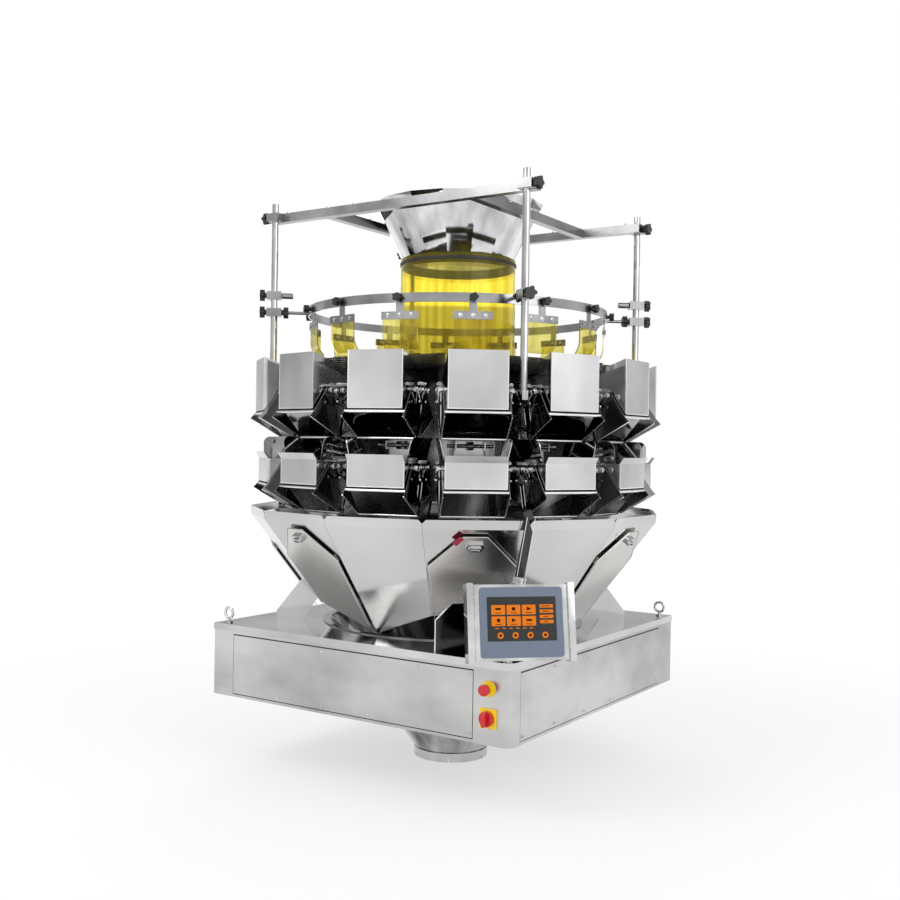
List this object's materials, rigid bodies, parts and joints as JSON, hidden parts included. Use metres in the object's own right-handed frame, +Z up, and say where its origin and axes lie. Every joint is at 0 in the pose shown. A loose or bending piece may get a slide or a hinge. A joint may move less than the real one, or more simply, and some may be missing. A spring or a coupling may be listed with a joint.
{
  "type": "multihead weigher",
  "caption": "Radial combination weigher: infeed funnel and tube, feed and weigh hoppers on a drum, collecting chute, square base with outlet and touch panel.",
  "frame": {"origin": "centre of the flat underside of the base, which is bolted to a platform; the outlet hangs below it", "axes": "+Z up through the axis of the drum; +X towards the first head; the control corner is at +X, -Y"},
  "size_m": [1.2325, 1.2206, 1.65],
  "materials": {
    "brushed_steel": "satin",
    "mirror_steel": "mirror polished",
    "amber_plastic": "clear amber",
    "black_plastic": "moulded",
    "grey_metal": "satin",
    "red_plastic": "moulded",
    "yellow_plastic": "moulded"
  },
  "bodies": {
    "machine": {"base_funnel": "brushed_steel", "base_housing": "brushed_steel", "base_lid": "brushed_steel", "chute_doors": "mirror_steel", "chute_panels": "brushed_steel", "control_corner": "brushed_steel", "door_latches": "mirror_steel", "drive_boxes": "brushed_steel", "drum": "brushed_steel", "drum_legs": "brushed_steel", "estop_collar": "yellow_plastic", "eyebolts": "mirror_steel", "fixed_gate_arms": "mirror_steel", "flap_brackets": "brushed_steel", "flap_ring": "brushed_steel", "flaps": "amber_plastic", "frame_bars": "brushed_steel", "funnel_collar": "brushed_steel", "gate_pins": "mirror_steel", "hmi_arm": "brushed_steel", "hmi_conduit": "brushed_steel", "hmi_housing": "grey_metal", "hmi_panel": "black_plastic", "hopper_backs": "mirror_steel", "hopper_fronts": "brushed_steel", "hopper_sides": "mirror_steel", "infeed_funnel": "mirror_steel", "infeed_tube": "amber_plastic", "inner_gates": "mirror_steel", "level_sensors": "black_plastic", "outlet_collar": "brushed_steel", "outlet_cone": "brushed_steel", "pan_floors": "brushed_steel", "pan_walls": "brushed_steel", "post_arms": "brushed_steel", "post_clamps": "grey_metal", "posts": "mirror_steel", "rear_gates": "mirror_steel", "side_covers": "brushed_steel", "star_knobs": "black_plastic", "switch_plate": "yellow_plastic", "top_cone": "brushed_steel", "vibrators": "black_plastic", "weigh_deflectors": "brushed_steel"},
    "feed_gate_1": {"feed_gate_1": "mirror_steel"},
    "feed_gate_2": {"feed_gate_2": "mirror_steel"},
    "feed_gate_3": {"feed_gate_3": "mirror_steel"},
    "feed_gate_4": {"feed_gate_4": "mirror_steel"},
    "feed_gate_5": {"feed_gate_5": "mirror_steel"},
    "feed_gate_6": {"feed_gate_6": "mirror_steel"},
    "feed_gate_7": {"feed_gate_7": "mirror_steel"},
    "weigh_gate_1": {"weigh_gate_1": "mirror_steel"},
    "weigh_gate_2": {"weigh_gate_2": "mirror_steel"},
    "weigh_gate_3": {"weigh_gate_3": "mirror_steel"},
    "weigh_gate_4": {"weigh_gate_4": "mirror_steel"},
    "weigh_gate_5": {"weigh_gate_5": "mirror_steel"},
    "weigh_gate_6": {"weigh_gate_6": "mirror_steel"},
    "weigh_gate_7": {"weigh_gate_7": "mirror_steel"},
    "estop": {"estop_button": "red_plastic"},
    "main_switch": {"switch_knob": "red_plastic"}
  },
  "joints": [
    {"name": "feed_gate_1_hinge", "type": "hinge", "parent": "machine", "child": "feed_gate_1", "pos_m": [-0.3398, -0.4261, 0.87], "axis": [-0.7818, 0.6235, 0], "range_deg": [0, 45], "stiffness_Nm_per_rad": 2, "springref_deg": -20.05},
    {"name": "feed_gate_2_hinge", "type": "hinge", "parent": "machine", "child": "feed_gate_2", "pos_m": [-0.12127, -0.53134, 0.87], "axis": [-0.9749, 0.2225, 0], "range_deg": [0, 45], "stiffness_Nm_per_rad": 2, "springref_deg": -20.05},
    {"name": "feed_gate_3_hinge", "type": "hinge", "parent": "machine", "child": "feed_gate_3", "pos_m": [0.12127, -0.53134, 0.87], "axis": [-0.9749, -0.2225, 0], "range_deg": [0, 45], "stiffness_Nm_per_rad": 2, "springref_deg": -20.05},
    {"name": "feed_gate_4_hinge", "type": "hinge", "parent": "machine", "child": "feed_gate_4", "pos_m": [0.3398, -0.4261, 0.87], "axis": [-0.7818, -0.6235, 0], "range_deg": [0, 45], "stiffness_Nm_per_rad": 2, "springref_deg": -20.05},
    {"name": "feed_gate_5_hinge", "type": "hinge", "parent": "machine", "child": "feed_gate_5", "pos_m": [0.49103, -0.23647, 0.87], "axis": [-0.4339, -0.901, 0], "range_deg": [0, 45], "stiffness_Nm_per_rad": 2, "springref_deg": -20.05},
    {"name": "feed_gate_6_hinge", "type": "hinge", "parent": "machine", "child": "feed_gate_6", "pos_m": [0.545, 0, 0.87], "axis": [0, -1, 0], "range_deg": [0, 45], "stiffness_Nm_per_rad": 2, "springref_deg": -20.05},
    {"name": "feed_gate_7_hinge", "type": "hinge", "parent": "machine", "child": "feed_gate_7", "pos_m": [0.49103, 0.23647, 0.87], "axis": [0.4339, -0.901, 0], "range_deg": [0, 45], "stiffness_Nm_per_rad": 2, "springref_deg": -20.05},
    {"name": "weigh_gate_1_hinge", "type": "hinge", "parent": "machine", "child": "weigh_gate_1", "pos_m": [-0.33232, -0.41672, 0.669], "axis": [-0.7818, 0.6235, 0], "range_deg": [0, 38], "stiffness_Nm_per_rad": 2, "springref_deg": -20.05},
    {"name": "weigh_gate_2_hinge", "type": "hinge", "parent": "machine", "child": "weigh_gate_2", "pos_m": [-0.1186, -0.51964, 0.669], "axis": [-0.9749, 0.2225, 0], "range_deg": [0, 38], "stiffness_Nm_per_rad": 2, "springref_deg": -20.05},
    {"name": "weigh_gate_3_hinge", "type": "hinge", "parent": "machine", "child": "weigh_gate_3", "pos_m": [0.1186, -0.51964, 0.669], "axis": [-0.9749, -0.2225, 0], "range_deg": [0, 38], "stiffness_Nm_per_rad": 2, "springref_deg": -20.05},
    {"name": "weigh_gate_4_hinge", "type": "hinge", "parent": "machine", "child": "weigh_gate_4", "pos_m": [0.33232, -0.41672, 0.669], "axis": [-0.7818, -0.6235, 0], "range_deg": [0, 38], "stiffness_Nm_per_rad": 2, "springref_deg": -20.05},
    {"name": "weigh_gate_5_hinge", "type": "hinge", "parent": "machine", "child": "weigh_gate_5", "pos_m": [0.48022, -0.23126, 0.669], "axis": [-0.4339, -0.901, 0], "range_deg": [0, 38], "stiffness_Nm_per_rad": 2, "springref_deg": -20.05},
    {"name": "weigh_gate_6_hinge", "type": "hinge", "parent": "machine", "child": "weigh_gate_6", "pos_m": [0.533, 0, 0.669], "axis": [0, -1, 0], "range_deg": [0, 38], "stiffness_Nm_per_rad": 2, "springref_deg": -20.05},
    {"name": "weigh_gate_7_hinge", "type": "hinge", "parent": "machine", "child": "weigh_gate_7", "pos_m": [0.48022, 0.23126, 0.669], "axis": [0.4339, -0.901, 0], "range_deg": [0, 38], "stiffness_Nm_per_rad": 2, "springref_deg": -20.05},
    {"name": "estop_press", "type": "slide", "parent": "machine", "child": "estop", "axis": [0, 1, 0], "range_m": [0, 0.004], "stiffness_N_per_m": 800, "springref_m": -0.004},
    {"name": "main_switch_turn", "type": "hinge", "parent": "machine", "child": "main_switch", "pos_m": [0.436, -0.51, 0.066], "axis": [0, -1, 0], "range_deg": [-90, 0]}
  ]
}
